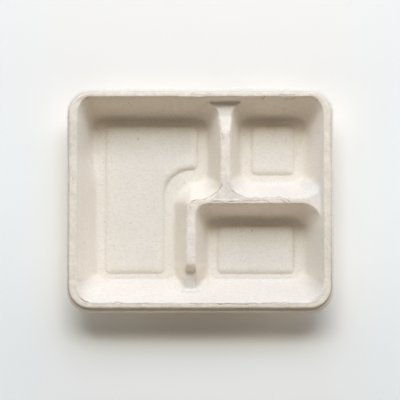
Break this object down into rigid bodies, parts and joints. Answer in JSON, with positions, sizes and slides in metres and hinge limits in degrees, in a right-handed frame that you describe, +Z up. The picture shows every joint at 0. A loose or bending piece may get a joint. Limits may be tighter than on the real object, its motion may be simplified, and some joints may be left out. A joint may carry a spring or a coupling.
{
  "type": "compartment meal tray",
  "caption": "Shallow moulded fibre meal tray with separate food compartments, low dividers, raised floor panels and a turned-down rim.",
  "frame": {"origin": "centre of the tray's outline, on the surface it rests on", "axes": "+Z up out of the compartments, +X along the long side, +Y along the short side towards the upper right compartment"},
  "size_m": [0.2304, 0.1938, 0.038],
  "materials": {
    "fibre": "matte pressed plant fibre, off-white, fine fibre flecks"
  },
  "bodies": {
    "root": {"tray": "fibre"}
  },
  "joints": []
}
